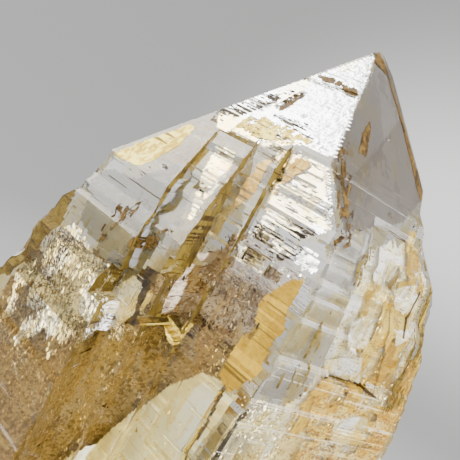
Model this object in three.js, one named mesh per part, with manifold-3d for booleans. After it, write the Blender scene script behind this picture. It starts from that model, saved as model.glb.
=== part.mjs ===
import * as THREE from "three";
import { mergeVertices } from "three/addons/utils/BufferGeometryUtils.js";
import Module from "manifold-3d";

// A single tapered quartz point, its long axis along +Z, cut off flat at the root.
// While it is built the tip is at the origin; at the end it is moved so that the cut rests on z = 0.
// Directions round the axis are in degrees from -Y (the front) towards +X.

const HEIGHT = 126; // tip to flat cut
const FAR = 170; // reach of the cutting blocks, well outside the crystal
const RHOMB_RISE = 38.2; // a tip face's normal rises this far above the horizontal
const FRONT_LEFT = -25.5; // direction of the front left side face; the others follow at 60 degrees
const SIDE_ANGLE = 60;

// Each side face is a staircase of growth ledges. A row is [height below the tip, distance from the axis].
const SIDES = {
  frontLeftOuter: [[35.6, 28], [43.9, 30.8], [50.8, 32.4], [58.3, 34.6], [75.6, 36.3], [108, 37.8]],
  frontLeftMiddle: [[24.5, 19.3], [32.6, 24.4], [40, 28.3], [54, 29.1], [61, 29.9], [97, 34.6]],
  frontLeftInner: [[23.6, 18.5], [27, 19.8], [37.8, 21.2], [49, 23.8], [68.4, 28], [108, 33.3]],
  frontLeftCore: [[22.4, 17.7], [31.5, 19.4], [37.8, 20.7], [54, 24.1], [72, 26.4], [93.6, 29.7], [112, 32]],
  frontRightInner: [[29.9, 23.5], [38.7, 24.5], [54, 25.8], [81, 28.8], [108, 30.2]],
  frontRightMiddle: [[25.4, 20], [32.6, 24.5], [39, 26.6], [51.5, 28.6], [60, 29.2], [108, 31]],
  frontRightOuter: [
    [20.8, 16.4], [25.7, 20.3], [32.6, 24.5], [39, 26.5], [51.5, 28.5], [60, 29.1], [108, 31],
  ],
  right: [[21, 16.5], [25.7, 20.4], [32.6, 24.5], [39, 26.6], [51.5, 28.9], [60, 29.3], [108, 31]],
  left: [[35.6, 28], [43.9, 30.8], [50.8, 32.4], [58.3, 34.6], [75.6, 36.3], [108, 37.8]],
  backRight: [[34.2, 27], [46.8, 28.8], [72, 31], [108, 32.2]],
  backLeft: [[31.8, 25], [43, 28.2], [68.4, 31.7], [108, 33.2]],
};

// The front sides are made of upright strips, each standing further out than the one before and ending
// at a wall. A strip is [its rows, number of ledges, seed, wall]; a wall is [direction, lean, distance].
const FRONT_LEFT_STRIPS = [
  ["frontLeftCore", 34, 11, null],
  ["frontLeftInner", 28, 12, [64.5, 5.5, 1.8]],
  ["frontLeftMiddle", 34, 13, [79.5, 3.9, -7.2]],
  ["frontLeftOuter", 24, 14, [79.5, 6, -14.6]],
];
const FRONT_RIGHT_STRIPS = [
  ["frontRightOuter", 30, 21, null],
  ["frontRightMiddle", 34, 22, [94.5, 0, 17.3]],
  ["frontRightInner", 22, 23, [94.5, 8, 5.7]],
];
// The other sides are whole: [rows, number of ledges, seed].
const PLAIN_SIDES = [["right", 30, 31], ["left", 26, 32], ["backRight", 26, 33], ["backLeft", 24, 34]];

// How far each tip face is pushed out from the tip.
const TIP_OFFSETS = { frontLeft: 0, frontRight: 0, right: 1.9, backRight: 1.4, backLeft: 0.6, left: 0.15 };

// Small facets at the tip: direction, rise of the normal, distance of the plane from the tip point.
const TIP_CUTS = [
  [28.4, 44.4, -0.5],
  [52.4, 43.7, -0.12],
];

// Flat-floored recesses in the front side faces: [strip, place along the face,
// height below the tip, width, height, depth, tilt of the floor in degrees].
const WINDOWS = [
  ["frontRightMiddle", 4.3, 30.2, 2.4, 6, 0.5, 4],
  ["frontRightMiddle", 1.7, 40, 2, 5.2, 0.6, -4],
  ["frontRightMiddle", 2.9, 45.4, 7.5, 3.6, 0.5, 5],
  ["frontRightOuter", 7.4, 31.5, 3.2, 5, 0.45, 3],
  ["frontRightOuter", 9.6, 41, 3, 4.4, 0.4, -3],
  ["frontRightMiddle", 8, 52.5, 6, 1.8, 0.4, 6],
  ["frontRightInner", -7, 62, 4, 9, 0.5, 2],
  ["frontRightMiddle", 5, 70, 5, 12, 0.6, -1.5],
  ["frontLeftCore", 7.8, 35.2, 2.4, 1.8, 0.5, 5],
  ["frontLeftCore", 10.2, 34.2, 1.5, 1.8, 0.4, -4],
  ["frontLeftCore", 8.8, 38.3, 3.2, 2, 0.6, 5],
  ["frontLeftCore", 12.4, 38.6, 2.4, 1.6, 0.4, 5],
  ["frontLeftCore", 11.5, 42.4, 3, 2.6, 0.4, -4],
  ["frontLeftInner", 3.2, 43.6, 2, 2.6, 0.5, 4],
  ["frontLeftMiddle", -1.4, 33.4, 2, 1.5, 0.4, 5],
  ["frontLeftMiddle", -1.5, 49.5, 4, 4.4, 0.5, 3],
  ["frontLeftOuter", -13, 45, 4.4, 5, 0.4, -3],
  ["frontLeftOuter", -17, 53, 4.2, 3, 0.5, 5],
  ["frontLeftCore", 13, 60, 5, 11, 0.6, -1.6],
];
// Three-sided notch in the front left side: place, height below the tip, size, depth, turn in degrees.
const NOTCH = { x: 5.2, drop: 51, size: 2.7, depth: 1.6, turn: 47 };

// Steps and grooves in the front left tip face:
// [place along the face, distance down it, width, length, depth, turn, tilt of the floor], in degrees.
const TIP_STEPS = [
  [-10, 29.4, 9, 6.6, 0.14, 0, 2.6],
  [-0.5, 13.7, 9.6, 0.8, 0.28, 4, 8],
  [-3.4, 20.2, 0.8, 5.8, 0.35, -9, 0],
  [-0.8, 24.5, 4, 0.35, 0.2, 9, 0],
  [-7.6, 24.9, 5.6, 0.3, 0.16, 0, 0],
  [-13.6, 40, 6, 7, 0.12, 0, 1.6],
  [-3.4, 27.6, 3.8, 1.5, 0.22, 12, 6],
  [3.8, 8.2, 3.6, 0.4, 0.14, -6, 0],
];

// Small marks scattered over every side. A pair is the least and the greatest value. Those on the two
// front sides start at `frontTop` below the tip, those on the others at `hiddenTop`, and all of them
// end `foot` above the cut.
const RECESS = {
  count: 7,
  frontTop: 62,
  hiddenTop: 40,
  foot: 12,
  width: [1.2, 4.5],
  height: [5, 17],
  depth: [0.2, 0.5],
  tilt: [1, 2.6],
};
const CHIP = { count: 5, frontTop: 60, hiddenTop: 42, foot: 4, radius: [1.4, 2.8], stretch: [0.8, 1.8] };
// Etched pits on each tip face, between two distances down it; `spread` is their place across it,
// as a share of that distance.
const PIT = {
  count: 6,
  top: 14,
  frontFoot: 31,
  foot: 36,
  width: [0.3, 0.9],
  height: [0.3, 0.7],
  depth: [0.2, 0.4],
  spread: [-0.3, 0.3],
};

// Broken facets round the rim of the flat cut. `rim` is the distance from the axis at which the
// shallowest meets the cut, `bite` how much nearer the axis the deepest does, `rise` the least dip of
// its normal and the most that is added to it, `jitter` the share of a step by which it turns.
const ROOT = { count: 13, rim: 33, bite: 8, rise: [28, 34], jitter: 0.7 };

const rad = THREE.MathUtils.degToRad;
const RISE_COS = Math.cos(rad(RHOMB_RISE));
const RISE_SIN = Math.sin(rad(RHOMB_RISE));
const LEDGE_SLOPE = RISE_COS / RISE_SIN; // drop of a ledge tread for each millimetre outwards
const OVERRUN = 5; // how far the sides run on below the flat cut before it is made
const LEAST_TREAD = 0.04; // narrower ledges are left out
const GAP_LEAST = 0.12; // least gap between ledges, against gaps of up to 1 drawn on top of it
const RISER_LEAN = 0.45; // share of the taper taken by the lean of the risers, the rest by the treads
const BLOCK = 8; // thickness of a recess cutter
const WELD = 1e-4; // corners nearer than this are one
const SIDE_SEED = 101; // the first side's marks; each further side takes the next number
const ROOT_SEED = 301;

const wasm = await Module();
wasm.setup();

// A repeatable stream of numbers between 0 and 1.
function stream(seed) {
  let state = seed * 2654435761;
  return () => {
    state = (state + 0x6d2b79f5) | 0;
    let t = Math.imul(state ^ (state >>> 15), 1 | state);
    t = (t + Math.imul(t ^ (t >>> 7), 61 | t)) ^ t;
    return ((t ^ (t >>> 14)) >>> 0) / 4294967296;
  };
}

function solid(geometry, matrix) {
  const g = geometry.index ? geometry.toNonIndexed() : geometry.clone();
  g.deleteAttribute("normal");
  g.deleteAttribute("uv");
  if (matrix) g.applyMatrix4(matrix);
  const merged = mergeVertices(g, WELD);
  return new wasm.Manifold(
    new wasm.Mesh({
      numProp: 3,
      vertProperties: merged.attributes.position.array,
      triVerts: new Uint32Array(merged.index.array),
    }),
  );
}

function facing(azimuth, rise = 0) {
  const a = rad(azimuth);
  const r = rad(rise);
  return new THREE.Vector3(Math.sin(a) * Math.cos(r), -Math.cos(a) * Math.cos(r), Math.sin(r));
}

// Local x runs level along the face, local y up the face, local z straight out of it.
function faceFrame(azimuth, rise = 0) {
  const out = facing(azimuth, rise);
  const along = facing(azimuth + 90);
  const up = new THREE.Vector3().crossVectors(out, along);
  return new THREE.Matrix4().makeBasis(along, up, out);
}

// Everything further out than the given plane.
function beyond(azimuth, rise, distance) {
  const block = new THREE.BoxGeometry(2 * FAR, 2 * FAR, 2 * FAR);
  block.translate(0, 0, distance + FAR);
  return solid(block, faceFrame(azimuth, rise));
}

function reachAt(rows, depth) {
  const last = rows.length - 1;
  if (depth >= rows[last][0]) return rows[last][1];
  const i = Math.max(1, rows.findIndex((row) => row[0] > depth));
  const [d0, r0] = rows[i - 1];
  const [d1, r1] = rows[i];
  return r0 + ((r1 - r0) * (depth - d0)) / (d1 - d0);
}

// One side of the crystal: the tip face above, a staircase of ledges below, extruded along the face.
// Treads run parallel to the tip face; risers are upright but for a slight lean.
function flank(azimuth, rows, tipOffset, ledges, seed) {
  const next = stream(seed);
  const start = (rows[0][1] * RISE_COS - tipOffset) / RISE_SIN;
  const end = HEIGHT + OVERRUN;
  const gaps = Array.from({ length: ledges }, () => GAP_LEAST + next() ** 2);
  const scale = (end - start) / gaps.reduce((sum, gap) => sum + gap, 0);
  const levels = [start];
  for (const gap of gaps) levels.push(levels[levels.length - 1] + gap * scale);
  const points = [[-FAR, -end], [-FAR, tipOffset / RISE_SIN + FAR * LEDGE_SLOPE]];
  for (let k = 0; k < ledges; k++) {
    const top = levels[k];
    const low = levels[k + 1];
    const reach = Math.max(rows[0][1], reachAt(rows, top));
    const nextReach = Math.max(rows[0][1], reachAt(rows, low));
    const lean = (RISER_LEAN * (nextReach - reach)) / (low - top);
    points.push([reach, -top]);
    const foot = (reach + lean * (low - top - LEDGE_SLOPE * nextReach)) / (1 - LEDGE_SLOPE * lean);
    if (nextReach - foot > LEAST_TREAD) points.push([foot, -low + (nextReach - foot) * LEDGE_SLOPE]);
  }
  points.push([reachAt(rows, end), -end]);
  const shape = new THREE.Shape(points.map(([x, y]) => new THREE.Vector2(x, y)));
  const slab = new THREE.ExtrudeGeometry(shape, { depth: 2 * FAR, bevelEnabled: false });
  slab.translate(0, 0, -FAR);
  const out = facing(azimuth);
  const axis = new THREE.Vector3(0, 0, 1);
  const along = new THREE.Vector3().crossVectors(out, axis);
  return solid(slab, new THREE.Matrix4().makeBasis(out, axis, along));
}

const direction = {};
["frontLeft", "frontRight", "right", "backRight", "backLeft", "left"].forEach((name, i) => {
  direction[name] = FRONT_LEFT + i * SIDE_ANGLE;
});

function strips(side, parts) {
  let whole = null;
  for (const [rows, ledges, seed, wall] of parts) {
    let strip = flank(direction[side], SIDES[rows], TIP_OFFSETS[side], ledges, seed);
    if (wall) strip = strip.subtract(beyond(...wall));
    whole = whole ? whole.add(strip) : strip;
  }
  return whole;
}

let crystal = strips("frontLeft", FRONT_LEFT_STRIPS).intersect(strips("frontRight", FRONT_RIGHT_STRIPS));
for (const [side, ledges, seed] of PLAIN_SIDES) {
  crystal = crystal.intersect(flank(direction[side], SIDES[side], TIP_OFFSETS[side], ledges, seed));
}
for (const cut of TIP_CUTS) crystal = crystal.subtract(beyond(...cut));
crystal = crystal.subtract(beyond(0, -90, HEIGHT));

// A block sunk into a face from outside. The place is in the face's own axes.
function recess(frame, x, y, out, width, height, depth, turn, tilt) {
  const block = new THREE.BoxGeometry(width, height, BLOCK);
  block.translate(0, 0, BLOCK / 2);
  block.rotateX(rad(tilt));
  block.rotateZ(rad(turn));
  block.translate(x, y, out - depth);
  return solid(block, frame);
}

for (const [rows, x, drop, width, height, depth, tilt] of WINDOWS) {
  const frame = faceFrame(direction[rows.startsWith("frontRight") ? "frontRight" : "frontLeft"]);
  const out = reachAt(SIDES[rows], drop);
  crystal = crystal.subtract(recess(frame, x, -drop, out, width, height, depth, 0, tilt));
}
const notch = new THREE.CylinderGeometry(NOTCH.size, NOTCH.size, BLOCK, 3);
notch.rotateX(rad(90));
notch.rotateZ(rad(NOTCH.turn));
notch.translate(NOTCH.x, -NOTCH.drop, reachAt(SIDES.frontLeftInner, NOTCH.drop) - NOTCH.depth + BLOCK / 2);
crystal = crystal.subtract(solid(notch, faceFrame(direction.frontLeft)));
for (const [x, drop, width, height, depth, turn, tilt] of TIP_STEPS) {
  const frame = faceFrame(direction.frontLeft, RHOMB_RISE);
  crystal = crystal.subtract(recess(frame, x, -drop, 0, width, height, depth, turn, tilt));
}

// Where two neighbouring side faces meet, at a height below the tip.
function corner(side, rows, nextRows, drop) {
  const first = reachAt(SIDES[rows], drop);
  const second = reachAt(SIDES[nextRows], drop);
  const across = (second - first * Math.cos(rad(SIDE_ANGLE))) / Math.sin(rad(SIDE_ANGLE));
  const point = facing(direction[side]).multiplyScalar(first);
  point.addScaledVector(facing(direction[side] + 90), across);
  point.z = -drop;
  return point;
}

// Scattered recesses, pits and chips. A row is [side, its strip, its strip at the next edge round,
// the first strip past that edge].
[
  ["frontLeft", "frontLeftOuter", "frontLeftCore", "frontRightInner"],
  ["frontRight", "frontRightOuter", "frontRightOuter", "right"],
  ["right", "right", "right", "backRight"],
  ["backRight", "backRight", "backRight", "backLeft"],
  ["backLeft", "backLeft", "backLeft", "left"],
  ["left", "left", "left", "frontLeftOuter"],
].forEach(([side, rows, edgeRows, pastRows], index) => {
  const next = stream(SIDE_SEED + index);
  const between = (low, high) => low + (high - low) * next();
  const upright = faceFrame(direction[side]);
  const sloping = faceFrame(direction[side], RHOMB_RISE);
  const hidden = !side.startsWith("front");
  for (let k = 0; k < RECESS.count; k++) {
    const drop = between(hidden ? RECESS.hiddenTop : RECESS.frontTop, HEIGHT - RECESS.foot);
    const out = reachAt(SIDES[rows], drop);
    const x = between(-out / 2, out / 2);
    const width = between(...RECESS.width);
    const height = between(...RECESS.height);
    const tilt = (next() < 0.5 ? -1 : 1) * between(...RECESS.tilt);
    const depth = between(...RECESS.depth);
    crystal = crystal.subtract(recess(upright, x, -drop, out, width, height, depth, 0, tilt));
  }
  for (let k = 0; k < PIT.count; k++) {
    const down = between(PIT.top, side === "frontLeft" ? PIT.frontFoot : PIT.foot);
    const pit = new THREE.OctahedronGeometry(1);
    pit.rotateZ(between(0, Math.PI));
    pit.scale(between(...PIT.width), between(...PIT.height), between(...PIT.depth));
    pit.translate(between(...PIT.spread) * down, -down, TIP_OFFSETS[side]);
    crystal = crystal.subtract(solid(pit, sloping));
  }
  for (let k = 0; k < CHIP.count; k++) {
    const drop = between(hidden ? CHIP.hiddenTop : CHIP.frontTop, HEIGHT - CHIP.foot);
    const place = corner(side, edgeRows, pastRows, drop);
    const chip = new THREE.IcosahedronGeometry(between(...CHIP.radius));
    chip.rotateX(between(0, Math.PI));
    chip.rotateZ(between(0, Math.PI));
    chip.scale(1, 1, between(...CHIP.stretch));
    chip.translate(place.x, place.y, place.z);
    crystal = crystal.subtract(solid(chip));
  }
});

const breaks = stream(ROOT_SEED);
for (let k = 0; k < ROOT.count; k++) {
  const azimuth = ((k + ROOT.jitter * breaks()) * 360) / ROOT.count;
  const rise = -ROOT.rise[0] - ROOT.rise[1] * breaks();
  const rim = facing(azimuth).multiplyScalar(ROOT.rim - ROOT.bite * breaks());
  rim.z = -HEIGHT;
  crystal = crystal.subtract(beyond(azimuth, rise, facing(azimuth, rise).dot(rim)));
}

const piece = crystal.getMesh();
const geometry = new THREE.BufferGeometry();
geometry.setAttribute("position", new THREE.BufferAttribute(new Float32Array(piece.vertProperties), 3));
geometry.setIndex(new THREE.BufferAttribute(new Uint32Array(piece.triVerts), 1));
geometry.computeBoundingBox();
const box = geometry.boundingBox;
geometry.translate(-(box.min.x + box.max.x) / 2, -(box.min.y + box.max.y) / 2, -box.min.z);
geometry.computeVertexNormals();

const material = new THREE.MeshStandardMaterial({ color: 0xd8c48c, roughness: 0.08, metalness: 0 });
const mesh = new THREE.Mesh(geometry, material);
mesh.name = "crystal";

const object = new THREE.Group();
object.add(mesh);

export default object;
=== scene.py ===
import math
from functools import partialmethod

import bmesh
import bpy
from mathutils import Matrix, Vector
from mathutils.noise import noise as noiseAt


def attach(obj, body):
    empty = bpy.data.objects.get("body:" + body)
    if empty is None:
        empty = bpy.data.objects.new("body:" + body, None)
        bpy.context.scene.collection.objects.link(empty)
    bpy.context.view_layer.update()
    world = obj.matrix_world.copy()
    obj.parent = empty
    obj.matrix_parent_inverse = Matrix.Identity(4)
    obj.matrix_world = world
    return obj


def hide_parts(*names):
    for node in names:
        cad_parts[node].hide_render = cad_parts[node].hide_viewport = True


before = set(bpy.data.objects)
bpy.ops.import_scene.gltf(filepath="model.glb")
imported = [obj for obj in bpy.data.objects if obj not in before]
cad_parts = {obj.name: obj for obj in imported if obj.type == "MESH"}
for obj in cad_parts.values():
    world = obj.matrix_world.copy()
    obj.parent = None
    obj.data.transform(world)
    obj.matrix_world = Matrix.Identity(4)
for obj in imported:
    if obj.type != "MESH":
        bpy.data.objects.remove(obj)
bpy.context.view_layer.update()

scene = bpy.context.scene
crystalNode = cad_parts["crystal"]
mm = 0.001


def newObject(name, data):
    made = bpy.data.objects.new(name, data)
    scene.collection.objects.link(made)
    return made


def dressed(piece):
    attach(piece, "root")


def oneFinish(mesh, finish):
    mesh.materials.clear()
    mesh.materials.append(finish)
    mesh.polygons.foreach_set("material_index", [0] * len(mesh.polygons))


# camera: a close three-quarter look down on the point, rolled on its side
cameraSettings = {
    "place": (0.003331, -0.082908, 0.097177),
    "yawLeft": 5.215,
    "pitchDown": 7.295,
    "roll": 29.245,
    "lens": 36.0,
    "sensor": 36.0,
    "near": 0.003,
    "far": 20,
}


def makeCamera(s):
    data = bpy.data.cameras.new("closeCamera")
    data.lens = s["lens"]
    data.sensor_width = s["sensor"]
    data.clip_start = s["near"]
    data.clip_end = s["far"]
    camera = newObject("closeCamera", data)
    camera.matrix_world = Matrix.Translation(s["place"])
    for degrees, axis in ((s["yawLeft"], "Z"), (90 - s["pitchDown"], "X"), (s["roll"], "Z")):
        camera.matrix_world @= Matrix.Rotation(math.radians(degrees), 4, axis)
    scene.camera = camera


makeCamera(cameraSettings)
print("camera set")


# a node tree in the making, with short words for what every tree here is made of
class Net:
    def __init__(self, tree):
        self.tree = tree

    def feed(self, value, socket):
        if isinstance(value, bpy.types.NodeSocket):
            self.tree.links.new(value, socket)
        else:
            socket.default_value = value

    def node(self, kind, values=None, **settings):
        made = self.tree.nodes.new(kind)
        for key, value in settings.items():
            setattr(made, key, value)
        for key, value in (values or {}).items():
            self.feed(value, made.inputs[key])
        return made

    def out(self, kind, values=None, **settings):
        return self.node(kind, values, **settings).outputs[0]

    def shape(self, kind, values=None, **settings):
        return self.out("GeometryNode" + kind, values, **settings)

    def use(self, group, values):
        return self.node("ShaderNodeGroup", values, node_tree=group).outputs

    def scalar(self, operation, *values):
        return self.out("ShaderNodeMath", dict(enumerate(values)), operation=operation)

    plus = partialmethod(scalar, "ADD")
    minus = partialmethod(scalar, "SUBTRACT")
    times = partialmethod(scalar, "MULTIPLY")
    over = partialmethod(scalar, "DIVIDE")
    larger = partialmethod(scalar, "MAXIMUM")
    unsigned = partialmethod(scalar, "ABSOLUTE")

    def blend(self, parts, shares):
        return self.plus(*[self.times(part, share) for part, share in zip(parts, shares)])

    def compared(self, operation, first, second):
        return self.out("FunctionNodeCompare", {0: first, 1: second}, operation=operation)

    def logic(self, operation, *values):
        return self.out("FunctionNodeBooleanMath", dict(enumerate(values)), operation=operation)

    def vector(self, operation, *values):
        made = self.node("ShaderNodeVectorMath", dict(enumerate(values)), operation=operation)
        return made.outputs["Value" if operation in ("DOT_PRODUCT", "LENGTH") else "Vector"]

    dot = partialmethod(vector, "DOT_PRODUCT")
    length = partialmethod(vector, "LENGTH")
    apart = partialmethod(vector, "SUBTRACT")
    stretched = partialmethod(vector, "MULTIPLY")

    def scaled(self, value, factor):
        return self.out("ShaderNodeVectorMath", {"Scale": factor, 0: value}, operation="SCALE")

    def joined(self, x, y, z):
        return self.out("ShaderNodeCombineXYZ", {"X": x, "Y": y, "Z": z})

    def height(self, place):
        return self.node("ShaderNodeSeparateXYZ", {0: place}).outputs["Z"]

    def turned(self, outward, along):
        axes = {"Primary Axis": outward, "Secondary Axis": along}
        return self.out("FunctionNodeAxesToRotation", axes, primary_axis="Z", secondary_axis="X")

    def ramp(self, value, low, high, fromValue=0.0, toValue=1.0):
        limits = {"Value": value, "From Min": low, "From Max": high, "To Min": fromValue, "To Max": toValue}
        return self.out("ShaderNodeMapRange", limits, interpolation_type="SMOOTHSTEP")

    def noise(self, place, scale, detail=3.0, roughness=0.55, swirl=0.0):
        return self.out("ShaderNodeTexNoise", {
            "Vector": place, "Scale": scale, "Detail": detail, "Roughness": roughness, "Distortion": swirl})

    def cells(self, place, randomness):
        values = {"Vector": place, "Scale": 1.0, "Randomness": randomness}
        blocks = self.node("ShaderNodeTexVoronoi", values, distance="CHEBYCHEV")
        return self.dot(blocks.outputs["Color"], (1, 0, 0))

    # sockets 6 and 7 take the colors of this node, and socket 2 gives one
    def mix(self, share, first, second):
        made = self.node("ShaderNodeMix", data_type="RGBA")
        for key, value in ((0, share), (6, first), (7, second)):
            self.feed((*value, 1) if isinstance(value, tuple) else value, made.inputs[key])
        return made.outputs[2]

    def bump(self, height, strength, distance):
        return self.out("ShaderNodeBump", {"Strength": strength, "Distance": distance, "Height": height})

    # a random value; each kind has sockets of its own
    def drawn(self, seed, least, most, kind="FLOAT"):
        made = self.node("FunctionNodeRandomValue", {"Seed": seed}, data_type=kind)
        first = {"FLOAT_VECTOR": 0, "FLOAT": 2}[kind]
        self.feed(least, made.inputs[first])
        self.feed(most, made.inputs[first + 1])
        return made.outputs[first // 2]

    def cast(self, target, direction, reach):
        values = {"Target Geometry": target, "Ray Direction": direction, "Ray Length": reach}
        return self.node("GeometryNodeRaycast", values).outputs

    def shapeOf(self, piece):
        return self.node("GeometryNodeObjectInfo", {"Object": piece}).outputs["Geometry"]

    def finish(self, geometry, material, made):
        real = self.shape("RealizeInstances", {"Geometry": geometry})
        done = self.shape("SetMaterial", {"Geometry": real, "Material": material})
        self.feed(done, made["Geometry"])


# inputs and outputs are lines of labels, by their kind of socket
def newGroup(name, inputs, outputs, kind="ShaderNodeTree"):
    tree = bpy.data.node_groups.new(name, kind)
    for way, kinds in (("INPUT", inputs), ("OUTPUT", outputs)):
        for socketKind, labels in kinds.items():
            for label in labels.split(", "):
                tree.interface.new_socket(label, in_out=way, socket_type="NodeSocket" + socketKind)
    return Net(tree), tree.nodes.new("NodeGroupInput").outputs, tree.nodes.new("NodeGroupOutput").inputs


def newShapeTree(name, inputs):
    own = {"Geometry": "Geometry"}
    return newGroup(name, own | inputs | {"Material": "Finish"}, own, "GeometryNodeTree")


def newMaterial(name, plainValues):
    mat = bpy.data.materials.new(name)
    mat.use_nodes = True
    net = Net(mat.node_tree)
    shader = mat.node_tree.nodes["Principled BSDF"].inputs
    for label, value in plainValues.items():
        shader[label].default_value = value
    return mat, net, shader, net.node("ShaderNodeTexCoord").outputs["Object"]


# a seamless pale sweep all round, like a light tent that glows most at one spot on the right
tentSettings = {
    "floorRadius": 0.28,
    "wallRadius": 0.85,
    "bend": 0.55,
    "wallTop": 1.15,
    "turns": 96,
    "bendSteps": 24,
    "rough": 0.9,
    "floorColor": (0.1, 0.0995, 0.098),
    "wallColor": (0.02, 0.02, 0.0195),
    "paleNear": 0.1,
    "paleFar": 0.32,
    "glowColor": (1.0, 0.995, 0.98),
    "glowSpot": (0.25, 0.68, 0.18),
    "glowNear": 0.0,
    "glowFar": 0.5,
    "glowMost": 1.36,
    "glowLeast": 0.46,
}


def tentMesh(s):
    profile = [(s["floorRadius"], 0.0)]
    for k in range(1, s["bendSteps"] + 1):
        a = math.pi / 2 * k / s["bendSteps"]
        reach = s["floorRadius"] + (s["wallRadius"] - s["floorRadius"]) * math.sin(a)
        profile.append((reach, s["bend"] * (1 - math.cos(a))))
    profile.append((s["wallRadius"], s["wallTop"]))
    turns = s["turns"]
    corners = [(0, 0, 0)]
    for radius, height in profile:
        for k in range(turns):
            a = 2 * math.pi * k / turns
            corners.append((radius * math.cos(a), radius * math.sin(a), height))
    faces = [(0, 1 + k, 1 + (k + 1) % turns) for k in range(turns)]
    for start in range(1, 1 + (len(profile) - 1) * turns, turns):
        for k in range(turns):
            n = (k + 1) % turns
            faces.append((start + k, start + turns + k, start + turns + n, start + n))
    mesh = bpy.data.meshes.new("tent")
    mesh.from_pydata(corners, [], faces)
    mesh.shade_smooth()
    return mesh


def tentCloth(s):
    plain = {"Roughness": s["rough"], "Emission Color": (*s["glowColor"], 1)}
    mat, net, shader, place = newMaterial("tentCloth", plain)
    mat.cycles.emission_sampling = "NONE"
    out = net.ramp(net.length(place), s["paleNear"], s["paleFar"])
    net.feed(net.mix(out, s["floorColor"], s["wallColor"]), shader["Base Color"])
    away = net.length(net.apart(place, s["glowSpot"]))
    glow = net.ramp(away, s["glowNear"], s["glowFar"], s["glowMost"], s["glowLeast"])
    net.feed(glow, shader["Emission Strength"])
    return mat


def makeTent(s):
    mesh = tentMesh(s)
    mesh.materials.append(tentCloth(s))
    newObject("tent", mesh)


makeTent(tentSettings)

# soft boxes: name, place, aimed at, width, height, radiance
softBoxes = [
    ("highLeftBox", (-0.42, 0.12, 0.62), (0, 0, 0.1), 0.5, 0.42, 12.5),
    ("leftBox", (-0.45, -0.32, 0.12), (0, 0, 0.09), 0.34, 0.34, 10.0),
    ("rightBox", (0.6, -0.1, 0.55), (0, 0, 0.06), 0.4, 0.4, 10.0),
    ("lowRightBox", (0.5, -0.45, 0.34), (0, 0, 0.07), 0.66, 0.6, 12.0),
    ("frontBox", (-0.05, -0.6, 0.4), (0, 0, 0.06), 0.5, 0.4, 9.0),
]
skySettings = {"color": (0.97, 0.98, 1.0), "strength": 1.2}


def makeSoftBox(name, place, aim, width, height, radiance):
    data = bpy.data.lights.new(name, "AREA")
    data.shape = "RECTANGLE"
    data.size = width
    data.size_y = height
    data.energy = radiance * width * height * math.pi
    box = newObject(name, data)
    box.location = place
    box.rotation_euler = (Vector(aim) - Vector(place)).to_track_quat("-Z", "Y").to_euler()
    box.visible_camera = False


def makeSky(s):
    scene.world = bpy.data.worlds.new("softSky")
    scene.world.use_nodes = True
    background = scene.world.node_tree.nodes["Background"].inputs
    background["Color"].default_value = (*s["color"], 1)
    background["Strength"].default_value = s["strength"]


for row in softBoxes:
    makeSoftBox(*row)
makeSky(skySettings)
print("stage and lights set")


# the six sides, in degrees from the front towards +X; the tip is the origin of every side's own measures
sideTurn = {"frontLeft": -25.5, "frontRight": 34.5, "right": 94.5, "backRight": 154.5, "backLeft": 214.5,
            "left": 274.5}
tipPoint = Vector((3.331, -0.108, 126.0)) * mm
tipRise = 38.2


def facing(degrees, rise=0.0):
    a = math.radians(degrees)
    r = math.radians(rise)
    return Vector((math.sin(a) * math.cos(r), -math.cos(a) * math.cos(r), math.sin(r)))


def onSide(side, across, drop, out):
    turn = sideTurn[side]
    return tipPoint + (facing(turn + 90) * across + facing(turn) * out - Vector((0, 0, drop))) * mm


def evaluated(source):
    shaped = source.evaluated_get(bpy.context.evaluated_depsgraph_get())
    return bpy.data.meshes.new_from_object(shaped)


def runTree(source, tree, values):
    modifier = source.modifiers.new("shape", "NODES")
    modifier.node_group = tree
    for item in tree.interface.items_tree:
        if item.in_out == "INPUT" and item.name in values:
            modifier[item.identifier] = values[item.name]
    bpy.context.view_layer.update()
    mesh = evaluated(source)
    source.modifiers.remove(modifier)
    return mesh


# the crystal's own shape, merged
def crystalMesh():
    mesh = crystalNode.data.copy()
    bm = bmesh.new()
    bm.from_mesh(mesh)
    bmesh.ops.remove_doubles(bm, verts=bm.verts, dist=1e-6)
    bm.to_mesh(mesh)
    bm.free()
    mesh.shade_flat()
    mesh.materials.clear()
    return mesh


body = newObject("crystalBody", crystalMesh())

# growth lines: shallow level grooves across the faces; sizes in mm, density in boxes per square metre
baseLines = {"rise": 0, "density": 22000, "length": (3.0, 12.0), "height": (0.06, 0.3), "depth": (0.03, 0.1)}
growthLines = {
    "frontLeft": {"density": 60000, "length": (2.0, 11.0), "height": (0.05, 0.26), "depth": (0.03, 0.11)},
    "frontRight": {"density": 34000, "length": (2.0, 9.0), "height": (0.05, 0.3)},
    "right": {"density": 24000},
    "backRight": {},
    "backLeft": {},
    "left": {"density": 24000},
    "walls": {"turn": 79.5, "density": 300000, "length": (0.8, 3.0), "height": (0.12, 0.4),
              "depth": (0.06, 0.16)},
    "frontLeftTip": {"turn": -25.5, "rise": tipRise, "density": 26000, "length": (1.0, 7.0),
                     "height": (0.05, 0.16), "depth": (0.02, 0.06)},
}
firstLineSeed = 3
lineSeedStep = 7.0
leastLineFacing = 0.97  # a face takes a side's lines when it looks at least this much that way


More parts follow.
